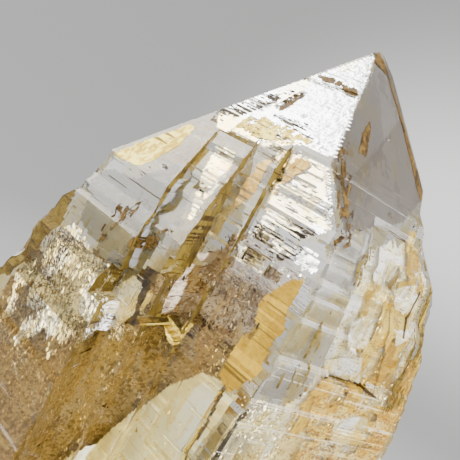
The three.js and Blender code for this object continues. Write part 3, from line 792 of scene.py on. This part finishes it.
# a sheet's settings, where they differ from the base's rust on a face, and then its outlines of points
# (across, drop below the tip) on its side; lengths are in mm, and cover is how full the stain is
baseSheet = {"side": "frontLeft", "look": "rust", "depth": -0.01, "ripple": 0.0, "smoothing": 8,
             "level": 0.0, "rim": 1.0, "block": 0.3, "thickness": 0.05, "rippleScale": 150.0,
             "leastCover": 0.35, "leastFacing": 0.3, "seedStep": 0.01}
sheets = {
    "tipVeil": ({"look": "mirror", "depth": 0.15, "ripple": 0.05, "cover": 1.3, "smoothing": 0,
        "rim": 0.25}, [
        (0, 0.9), (3.7, 8.3), (10, 21.6), (4.8, 22), (0.5, 24.6), (-8, 25.2), (-11.5, 21.5), (-6.5, 14)]),
    "tipCrust": ({"look": "cream", "cover": 0.42, "block": 0.16}, [
        (-6.8, 24.4), (-6.3, 21.2), (-3.9, 19.4), (-1.1, 20), (1.4, 19.5), (6, 20), (6.8, 21.6), (3.1, 23.6),
        (-0.7, 24.3), (-3, 24.5)]),
    "tipEndLines": ({"look": "ink", "cover": 0.32, "block": 0.13}, [
        (-11.5, 22.5), (-8.5, 17.2), (-4.5, 12), (-3.2, 13.6), (-3.6, 15.9), (-4.8, 19.9), (-6.6, 23),
        (-8.1, 25.6), (-10.4, 26)]),
    "yellowCrust": ({"look": "cream", "cover": 0.75, "block": 0.16}, [
        (-15.9, 36.6), (-15.9, 35), (-14.5, 31.4), (-12.7, 28.3), (-11.7, 25.8), (-9.6, 26.6), (-8.6, 29.9),
        (-8.7, 33.5), (-9.6, 35.8), (-13.7, 36.7)]),
    "streakRust": ({"cover": 0.5, "rim": 0.9, "block": 0.15}, [
        (-4.9, 11.2), (-4.4, 8.8), (-1.2, 8.3), (1.8, 8.7), (3.9, 8.8), (5.2, 11.8), (3.1, 11.7),
        (-0.2, 10.7), (-3.3, 10.9)]),
    "oliveRust": ({"cover": 0.8, "rim": 0.5, "block": 0.15}, [
        (-3.1, 18.7), (-4.3, 16.4), (-4, 14.5), (-3.3, 13.3), (-2, 14), (-2, 16.5), (-2.4, 18.2)]),
    "apexRust": ({"side": "frontRight", "cover": 1.3, "rim": 0.2, "block": 0.15}, [
        (-0.9, 1), (0.2, 0.2), (1.4, 1.6), (2.4, 3.4), (1.5, 3.5), (-1.5, 3)]),
    "rightEdgeRust": ({"side": "frontRight", "cover": 0.9, "rim": 0.2, "block": 0.15}, [
        (0.8, 0.6), (6.4, 9.3), (11, 19.3), (9.9, 19.6), (5.3, 9.7), (0.3, 1.4)]),
    "tipRust": ({"side": "frontRight", "cover": 0.62, "rim": 0.6, "block": 0.15}, [
        (-5.2, 19.2), (-4.6, 15.5), (-2.6, 12.6), (-1.6, 13.8), (-3, 19)]),
    "seamRust": ({"side": "frontRight", "cover": 0.26, "rim": 0.8, "block": 0.15}, [
        (-9.6, 20), (-6.5, 17), (-5, 24), (-4.6, 31), (-8.2, 33.6), (-9.8, 23)]),
    # painted backdrop grey: a grey sheet under the right tip face, where the face shows the grey backdrop
    "grayTipVeil": ({"side": "frontRight", "look": "smoke", "depth": 0.15, "ripple": 0.1, "cover": 1.4,
        "smoothing": 0, "rim": 0.1, "block": 0.35}, [
        (-0.1, 0.9), (6.1, 9.3), (10.6, 19.3), (5.6, 24.2), (-6.8, 29.6), (-10, 22.5)]),
    "frontVeil": ({"look": "stripes", "depth": 0.5, "ripple": 0.05, "cover": 1.2, "rim": 0.4}, [
        (2.4, 24.2), (5.2, 22.8), (10.4, 23.1), (15.6, 29.9), (12.8, 33), (6.2, 33.3), (4.6, 28.4)]),
    # painted shade: a plain grey sheet under the shoulder
    "shoulderVeil": ({"look": "shadow", "depth": 0.5, "ripple": 0.15, "cover": 1.1, "rim": 1.5,
        "block": 0.35}, [
        (-13.5, 46.5), (-15.4, 38.3), (-10.5, 37.1), (-4.5, 34.4), (-5, 30.8), (-2.6, 30.8), (0.6, 40.6),
        (-1.1, 50), (-4, 48.5)]),
    "panelVeil": ({"look": "stripes", "depth": 0.4, "ripple": 0.1, "cover": 0.8, "rim": 0.8}, [
        (-6.2, 27.4), (-1.6, 26.8), (0.4, 30.8), (1.4, 37.4), (0.8, 38.8), (-1.5, 35.2)]),
    "leftEdgeStain": ({"look": "umber", "ripple": 0.1, "cover": 0.7, "rim": 1.2}, [
        (-18.6, 37), (-15.6, 38.5), (-15.2, 44), (-14.6, 50), (-16, 58), (-19.5, 60)]),
    "veilFluff": ({"look": "fluff", "depth": 1.0, "ripple": 2.5, "cover": 0.62, "rim": 1.5, "block": 0.2}, [
        (-16.8, 51.5), (-13.8, 47), (-9, 48.6), (-4.1, 47.2), (-0.8, 51), (1.6, 55.5), (-3, 58.8),
        (-12, 60.4)]),
    "heartCloud": ({"look": "mauve", "depth": 2.4, "ripple": 2.0, "cover": 0.75, "rim": 1.5}, [
        (-0.5, 48), (1.8, 42), (2.7, 36.6), (7, 34.2), (16, 36.6), (14.6, 44.9), (13.5, 49.8), (9.3, 53),
        (3.2, 52.7)]),
    "heartVeil": ({"look": "stripes", "depth": 1.0, "ripple": 0.8, "cover": 0.35}, [
        (4.5, 40.5), (5, 32.8), (13.2, 32.4), (17.2, 31), (17.2, 36.6), (15.2, 40), (11, 41.5)]),
    # painted backdrop grey: a light grey sheet where the backdrop shows through the clear quartz
    "grayBand": ({"side": "frontRight", "look": "ash", "depth": 0.6, "ripple": 0.15, "cover": 1.0,
        "rim": 0.8, "block": 0.35}, [
        (-7.4, 30.3), (0.3, 27), (-2, 36.5), (-2, 46.8), (-4, 51.5), (-10, 51.8), (-9.3, 45.3),
        (-8.3, 39.9)]),
    "paleWindow": ({"look": "pale", "depth": 0.9, "ripple": 0.15, "cover": 1.4, "rim": 0.4, "block": 0.2}, [
        (15.1, 52.8), (12, 54), (9, 58.2), (7.2, 63.5), (4.5, 73), (6, 84), (13.8, 80), (15.8, 66),
        (16, 58)]),
    "paleSliver": ({"look": "pale", "depth": 0.6, "ripple": 0.1, "cover": 1.4, "rim": 0.3, "block": 0.2}, [
        (15.6, 52.6), (17.6, 53), (17.3, 57), (16.6, 65), (16.2, 65), (16.4, 58)]),
    "goldBank": ({"look": "deepGold", "cover": 1.0, "rim": 3.5, "block": 0.16}, [
        (12.2, 38.9), (14.4, 35), (17.4, 35.8), (18.6, 39.3), (19.2, 43.3), (19.2, 48.8), (17.2, 54),
        (13.2, 53.5), (13, 48.9), (13.4, 45.7), (11.2, 42.3)]),
    "lowCloud": ({"look": "brownCloud", "depth": 3.0, "ripple": 1.6, "cover": 0.85, "smoothing": 90,
        "level": 1.0, "rim": 3.0, "block": 0.45}, [
        (-19, 50), (-14, 54), (-6, 57), (1, 52), (13, 49), (17, 54), (18.5, 125.4), (-19, 125.4)]),
    "deepCloud": ({"look": "brownCloud", "depth": 9.0, "ripple": 4.0, "cover": 0.75, "rim": 3.0,
        "block": 0.7}, [
        (-14, 47), (0, 46), (12, 46), (15, 60), (15, 118), (-14, 118)]),
    "rightBlocks": ({"side": "frontRight", "look": "silverBlocks", "depth": 1.4, "ripple": 0.5,
        "cover": 0.75, "rim": 1.5, "block": 0.4}, [
        (-2, 30), (9.5, 25), (13.5, 30), (15.5, 46), (16, 60), (15, 124.6), (-13, 124.6), (-11, 55),
        (-3.5, 50)]),
    "rightStain": ({"side": "frontRight", "look": "goldFilm", "depth": 0.6, "ripple": 0.4, "cover": 0.2,
        "rim": 1.5, "block": 0.35}, [
        (0.6, 25.8), (10.5, 22.8), (13.5, 28), (16.5, 45), (17.5, 60), (17, 125.4), (-13, 125.4), (-5, 55),
        (-1, 44)]),
    "lowBands": ({"side": "frontRight", "look": "goldLines", "depth": 0.35, "ripple": 0.1, "cover": 0.5,
        "block": 0.25}, [
        (-2, 49), (16.5, 47.5), (17.5, 64), (2, 66)]),
    "edgeBands": ({"side": "frontRight", "look": "goldFilm", "depth": 0.35, "ripple": 0.1, "cover": 0.5,
        "block": 0.25}, [
        (12, 29), (14.5, 27.5), (17, 40), (17.2, 49), (12.5, 48.5)], [
        (5.8, 27.6), (10.8, 26.2), (12.4, 32), (12.6, 44), (9, 47.5), (6.4, 40)]),
    "midInk": ({"look": "ink", "cover": 0.22, "rim": 0.8, "block": 0.13}, [
        (-2.4, 19), (-0.4, 17.6), (4.6, 17.6), (6.2, 20.5), (2.4, 23), (-1.4, 24.3), (-5, 24), (-3, 21.5)], [
        (-15.3, 36.8), (-10.2, 35.4), (-8.7, 33.5), (-7.2, 32.3), (-5.6, 33.5), (-7.2, 36.9), (-10.1, 37.8),
        (-13.5, 37.6)]),
    "windowInk": ({"look": "ink", "cover": 0.26, "rim": 0.6, "block": 0.16}, [
        (5.4, 33.6), (6.2, 31.9), (10.9, 30.7), (15, 29.8), (15.6, 30.4), (13.6, 32.8), (14.6, 34),
        (13.6, 35.8), (11.1, 38.2), (7.5, 39.9), (6, 38.1)]),
    "shoulderPits": ({"cover": 0.35, "rim": 0.3, "block": 0.1}, [
        (-7.9, 46.8), (-8.7, 42.7), (-8.4, 40.1), (-5.9, 38.8), (-4.9, 41.1), (-6.2, 44), (-6.6, 46.5)], [
        (-2.7, 45.5), (-3.1, 43.8), (-2.9, 42.8), (-0.7, 40), (0.9, 39.6), (0.3, 42.7), (-2, 45.1)]),
    "tanCorner": ({"look": "tanFilm", "cover": 0.65, "rim": 1.5, "block": 0.16}, [
        (3.9, 24.8), (4.9, 22.7), (8.6, 22.3), (8.8, 24.2), (7.4, 26.6), (7, 29.5), (6.4, 32.5), (5.4, 33.5),
        (4.8, 28.4)], [
        (0.6, 27), (2, 24.6), (4.2, 24.6), (4.4, 28.5), (4.6, 32), (3.4, 34), (2.4, 36), (1.2, 35)]),
    "lowerGold": ({"look": "deepGold", "cover": 0.6, "rim": 0.5, "block": 0.12}, [
        (-2.3, 45.2), (-1.7, 45.1), (-1.2, 46.9), (-2.6, 48.8), (-3.4, 50.8), (-2, 47.1)], [
        (15.3, 53.4), (16, 53.3), (16.1, 56.1), (16.5, 58.7), (16.6, 61), (16.3, 63.7), (15.4, 64.4),
        (15.7, 60.3), (15, 57), (15.1, 54.7)], [
        (7.4, 63.8), (7.8, 63), (9.5, 65), (10.2, 65), (8.5, 65.9)]),
    "forkCrack": ({"look": "cream", "cover": 1.1, "rim": 0.15, "block": 0.12}, [
        (2.6, 51.5), (3.3, 51.4), (6.1, 52), (6.7, 49.8), (7.3, 49.7), (6.9, 53.2), (5.9, 53.2)]),
    # painted shade: a dark sheet that darkens the sloped part of the shoulder
    "shoulderShade": ({"look": "soot", "depth": 0.3, "ripple": 0.1, "cover": 1.0, "rim": 1.6}, [
        (-16.2, 42.7), (-16.4, 38.6), (-14, 37), (-9.5, 36.2), (-6.6, 32), (-5, 32), (-3, 38.5),
        (-2.2, 42.7)]),
    "lowerWhite": ({"look": "silverBlocks", "depth": 0.2, "ripple": 0.2, "cover": 0.6, "rim": 0.6,
        "block": 0.2}, [
        (-3.5, 50.6), (-1.5, 47.5), (1.5, 48), (2.4, 51.8), (0.6, 55.2), (-1.1, 53.3)], [
        (1.2, 48.5), (2.4, 47), (3.5, 48), (3, 51.3), (2.6, 51.9)]),
    "sideWindows": ({"side": "frontRight", "look": "silverBlocks", "depth": 0.15, "ripple": 0.05,
        "cover": 0.8, "rim": 0.4, "block": 0.2}, [
        (0.8, 28.8), (4.1, 26.4), (5.7, 28.6), (5.5, 32.9), (0.6, 33.5)], [
        (-0.9, 39.1), (2.5, 36.7), (4.1, 40.8), (2, 43.2), (0, 42.3)], [
        (-2.5, 44.7), (3.7, 42.7), (6.6, 47.1), (3.1, 47.1), (-1.8, 46.2)], [
        (3.7, 52.1), (10, 50.1), (12.5, 54.7), (5.1, 55.7)], [
        (7.4, 37.8), (10.9, 37.2), (11.3, 37.9), (9.1, 40.5)], [
        (5.3, 33.4), (9.5, 30.9), (12.6, 34), (9.7, 35.9), (7.5, 35.6)]),
    "sideBands": ({"side": "frontRight", "look": "ochre", "cover": 0.25, "rim": 0.6, "block": 0.16}, [
        (-1.3, 25.7), (1.8, 24), (-0.9, 32.2), (-2.3, 40.4), (-1.9, 45.8), (-3.6, 46.5), (-4.3, 41.5),
        (-3.4, 33.5)], [
        (-5.2, 37.5), (-6, 40.4), (-7.2, 44.3), (-8.6, 48.3), (-9.7, 50.6), (-3.9, 50), (-2.7, 46.3),
        (-2.8, 41.2)], [
        (9, 25), (10.5, 23.8), (13.5, 30), (16, 40), (15.6, 48), (11.1, 50.7), (12, 42), (11.5, 33)]),
    "crackRust": ({"side": "frontRight", "ripple": 0.2, "cover": 0.8, "rim": 0.3, "block": 0.12}, [
        (10.6, 31.5), (11.3, 31.6), (11, 35.5), (9.9, 38.8), (9.4, 38.5), (10.4, 35)]),
    "lowCrackRust": ({"side": "frontRight", "ripple": 0.2, "cover": 0.7, "rim": 0.3, "block": 0.12}, [
        (-1.5, 46.6), (6.5, 46.4), (10, 47.4), (9.8, 47.9), (4.5, 47), (-1.5, 47.2)]),
    "rightSideStain": ({"side": "right", "look": "goldFilm", "depth": 0.6, "ripple": 0.5, "cover": 0.42,
        "rim": 12.0, "block": 0.6}, [
        (-18, 24), (0, 30), (18, 44), (18, 125.4), (-18, 125.4)]),
    "backStain": ({"side": "backRight", "look": "goldFilm", "depth": 1.0, "ripple": 1.5, "cover": 0.42,
        "rim": 12.0, "block": 0.7}, [
        (-16, 50), (9, 40), (17, 50), (17, 125.4), (-17, 125.4)]),
    "backVeil": ({"side": "backLeft", "look": "brownCloud", "depth": 1.5, "ripple": 1.5, "cover": 0.5,
        "rim": 12.0, "block": 0.7}, [
        (-16, 54), (6, 44), (17, 56), (17, 125.4), (-17, 125.4)]),
    "leftSideStain": ({"side": "left", "look": "brownCloud", "depth": 0.7, "ripple": 0.5, "cover": 0.42,
        "rim": 12.0, "block": 0.5}, [
        (-18, 46), (0, 40), (18, 33), (18, 125.4), (-18, 125.4)]),
}


def outlineMesh(side, outlines):
    mesh = bpy.data.meshes.new("outline")
    corners = []
    faces = []
    for outline in outlines:
        faces.append(list(range(len(corners), len(corners) + len(outline))))
        corners += [onSide(side, across, drop, outlineOut) for across, drop in outline]
    mesh.from_pydata(corners, [], faces)
    return mesh


def grow(name, side, flatMesh, tree, values, finish):
    flat = newObject("flat", flatMesh)
    own = {"Crystal": body, "Inward": -facing(sideTurn[side]), "Finish": finish}
    made = newObject(name, runTree(flat, tree, values | own))
    bpy.data.objects.remove(flat)
    made.data.name = name
    oneFinish(made.data, finish)
    print(name, len(made.data.polygons))
    dressed(made)


def makeSheet(name, s, outlines):
    look = looks[s["look"]]
    acrossList, dropList = zip(*(point for outline in outlines for point in outline))
    middle = ((min(acrossList) + max(acrossList)) / 2, (min(dropList) + max(dropList)) / 2)
    onFace = s["depth"] < 0
    values = {
        "Along": facing(sideTurn[s["side"]] + 90), "Centre": onSide(s["side"], *middle, sheetStart),
        "Width": (max(acrossList) - min(acrossList)) * mm, "Height": (max(dropList) - min(dropList)) * mm,
        "Smoothing": 0 if onFace else s["smoothing"], "Least Facing": s["leastFacing"] if onFace else 0.0,
        "Least Cover": s["leastCover"], "Cover": s["cover"], "Level": s["level"],
        "Ripple Height": s["ripple"] * mm, "Ripple Scale": s["rippleScale"],
        "Seed": s["seedStep"] * len(name)}
    values |= {key.title(): s[key] * mm for key in ("block", "depth", "thickness", "rim")}
    values |= {key.title(): look[key] for key in ("streak", "scale", "blocks")}
    grow(name, s["side"], outlineMesh(s["side"], outlines), growthSheet, values, sheetFinishes[s["look"]])


for name, (differing, *outlines) in sheets.items():
    makeSheet(name, baseSheet | differing, outlines)

# iron crust on the walls between the upright strips, which face right
wallCrust = {
    "look": "ochre", "turns": (55.0, 95.0), "drops": (23.0, 55.0), "across": (-12.0, 8.0), "ahead": 14.0,
    "steepest": 0.3, "cuts": 3, "grain": 500.0, "bare": -0.3, "turn": 75.0, "lift": 0.02, "thickness": 0.05,
}


def makeWallCrust(name, s):
    front = facing(sideTurn["frontLeft"])
    along = facing(sideTurn["frontLeft"] + 90)

    def onWall(face):
        away = (face.calc_center_median() - tipPoint) / mm
        turn = math.degrees(math.atan2(face.normal.x, -face.normal.y))
        return (abs(face.normal.z) < s["steepest"] and s["turns"][0] < turn < s["turns"][1]
                and s["across"][0] < away.dot(along) < s["across"][1] and away.dot(front) > s["ahead"]
                and s["drops"][0] < -away.z < s["drops"][1])

    bm = bmesh.new()
    bm.from_mesh(crystalMesh())
    bmesh.ops.delete(bm, geom=[face for face in bm.faces if not onWall(face)], context="FACES")
    bmesh.ops.subdivide_edges(bm, edges=bm.edges, cuts=s["cuts"], use_grid_fill=True)
    bare = [face for face in bm.faces if noiseAt(face.calc_center_median() * s["grain"]) < s["bare"]]
    bmesh.ops.delete(bm, geom=bare, context="FACES")
    bmesh.ops.translate(bm, verts=bm.verts, vec=facing(s["turn"]) * (s["lift"] + s["thickness"]) * mm)
    bmesh.ops.solidify(bm, geom=bm.faces[:], thickness=s["thickness"] * mm)
    mesh = bpy.data.meshes.new(name)
    bm.to_mesh(mesh)
    bm.free()
    oneFinish(mesh, sheetFinishes[s["look"]])
    print("crust", name, len(mesh.polygons))
    dressed(newObject(name, mesh))


makeWallCrust("wallCrust", wallCrust)

# clouds of tiny flat flakes: the glittering cracks inside
flakeLooks = {
    "brightFlake": {"first": (0.99, 0.98, 0.96), "second": (0.97, 0.95, 0.9), "rough": 0.12},
    "goldFlake": {"first": (0.96, 0.8, 0.42), "second": (0.55, 0.36, 0.11), "rough": 0.3},
    "brownFlake": {"first": (0.42, 0.34, 0.27), "second": (0.09, 0.06, 0.035), "rough": 0.25},
}
flakeGrain = {"scale": 900.0, "split": (0.42, 0.58), "roughSplit": (0.35, 0.65), "rougher": 0.15}


def flakeMaterial(name, s, g):
    mat, net, shader, place = newMaterial(name, {"Metallic": 1.0})
    shade = net.noise(place, g["scale"], 3.0, 0.6)
    net.feed(net.mix(net.ramp(shade, *g["split"]), s["first"], s["second"]), shader["Base Color"])
    rough = net.ramp(shade, *g["roughSplit"], s["rough"], s["rough"] + g["rougher"])
    net.feed(rough, shader["Roughness"])
    return mat


flakeFinishes = {name: flakeMaterial(name, s, flakeGrain) for name, s in flakeLooks.items()}
flakeShape = {"corners": 5, "thickness": 0.12, "slimmest": (0.15, 0.5, 0.5), "fullest": (0.4, 1.0, 1.0),
              "subdivisions": 4, "swarmSplit": (0.46, 0.56), "seedSteps": (5.0, 9.0, 13.0, 17.0)}


def flakeTree(s):
    net, given, made = newShapeTree("flakeCloud", {
        "Object": "Crystal", "Vector": "Inward, Facing", "Int": "Seed",
        "Float": "Spread, Density, Least Depth, Most Depth, Least Size, Most Size, Swarm Scale"})
    fine = net.shape("SubdivideMesh", {"Mesh": given["Geometry"], "Level": s["subdivisions"]})
    swarm = net.ramp(net.noise(net.shape("InputPosition"), given["Swarm Scale"], 3.0), *s["swarmSplit"])
    scatter = net.shape("DistributePointsOnFaces", {
        "Mesh": fine, "Density": net.times(given["Density"], swarm), "Seed": given["Seed"]})
    cast = net.cast(net.shapeOf(given["Crystal"]), given["Inward"], crystalReach * mm)
    seeds = [net.plus(given["Seed"], step) for step in s["seedSteps"]]
    deep = net.drawn(seeds[0], given["Least Depth"], given["Most Depth"])
    travel = net.plus(cast["Hit Distance"], deep)
    sunk = net.shape("SetPosition", {"Geometry": scatter, "Offset": net.scaled(given["Inward"], travel)})
    wobble = net.drawn(seeds[1], (-1, -1, -1), (1, 1, 1), "FLOAT_VECTOR")
    toward = net.vector("ADD", given["Facing"], net.scaled(wobble, given["Spread"]))
    turned = net.out("FunctionNodeAlignRotationToVector", {"Vector": toward}, axis="Z")
    stretch = net.drawn(seeds[2], s["slimmest"], s["fullest"], "FLOAT_VECTOR")
    big = net.drawn(seeds[3], given["Least Size"], given["Most Size"])
    flake = net.shape("MeshCylinder", {"Vertices": s["corners"], "Radius": 1.0, "Depth": s["thickness"]})
    placed = net.shape("InstanceOnPoints", {
        "Points": sunk, "Selection": cast["Is Hit"], "Instance": flake, "Rotation": turned,
        "Scale": net.scaled(stretch, big)})
    net.finish(placed, given["Finish"], made)
    return net.tree


flakes = flakeTree(flakeShape)

# a cloud's settings, sizes in mm, and the outline behind which it lies
baseFlakes = {"side": "frontLeft", "slot": "veil"}
flakeClouds = {
    "veilGlitter": ({"look": "brightFlake", "count": 8500, "turn": -21, "rise": 9, "spread": 0.08,
        "depth": (0.6, 2.6), "size": (0.15, 0.75), "swarm": 230.0, "seed": 21}, [
        (-17, 52.5), (-14, 47.2), (-9, 48.6), (-4.1, 47.4), (-0.6, 51.5), (1.6, 56), (-1.6, 57.2),
        (-3, 61.5), (-6, 58.6), (-8.8, 63.8), (-11, 59.6), (-13.6, 63), (-15.6, 57.6)]),
    "veilShade": ({"look": "brownFlake", "count": 1500, "turn": -52, "rise": 2, "spread": 0.35,
        "depth": (0.15, 0.8), "size": (0.12, 0.5), "swarm": 170.0, "seed": 26}, sheets["veilFluff"][1]),
    "heartGlitter": ({"look": "brownFlake", "count": 1500, "turn": -27, "rise": 3, "spread": 0.4,
        "depth": (1.5, 5.0), "size": (0.15, 0.6), "swarm": 300.0, "seed": 22}, [
        (1.8, 42.1), (2.7, 38.1), (6.5, 35.8), (15, 38.3), (14.4, 44.9), (12.5, 49.3), (7.3, 50.6),
        (3.2, 48.7)]),
    "lowGlitter": ({"look": "goldFlake", "slot": "iron_stain", "count": 4500, "turn": -22, "rise": 11,
        "spread": 0.2, "depth": (0.6, 3.0), "size": (0.08, 0.34), "swarm": 200.0, "seed": 23}, [
        (-17, 53), (-6, 55), (1, 53), (13, 50), (15, 60), (14, 80), (-14, 84)]),
    "rightGlitter": ({"side": "frontRight", "look": "brightFlake", "count": 2600, "turn": 32, "rise": 19,
        "spread": 0.3, "depth": (0.6, 2.5), "size": (0.08, 0.3), "swarm": 400.0, "seed": 24}, [
        (-10, 53), (-2.5, 52), (-1.5, 60), (-6, 70), (-11, 66)]),
    "bandGlints": ({"side": "frontRight", "look": "goldFlake", "slot": "iron_stain", "count": 3000,
        "turn": 32, "rise": 19, "spread": 0.16, "depth": (0.3, 1.4), "size": (0.1, 0.4), "swarm": 260.0,
        "seed": 25}, [
        (2, 29), (12, 26), (16.5, 40), (17.5, 64), (2, 66), (-1, 50), (2, 44)]),
}


def makeFlakes(name, s, outline):
    mesh = outlineMesh(s["side"], [outline])
    values = {"Facing": facing(s["turn"], s["rise"]), "Spread": s["spread"], "Swarm Scale": s["swarm"],
              "Density": s["count"] / mesh.polygons[0].area, "Seed": s["seed"]}
    for key in ("depth", "size"):
        values["Least " + key.title()] = s[key][0] * mm
        values["Most " + key.title()] = s[key][1] * mm
    grow(name, s["side"], mesh, flakes, values, flakeFinishes[s["look"]])


for name, (differing, outline) in flakeClouds.items():
    makeFlakes(name, baseFlakes | differing, outline)
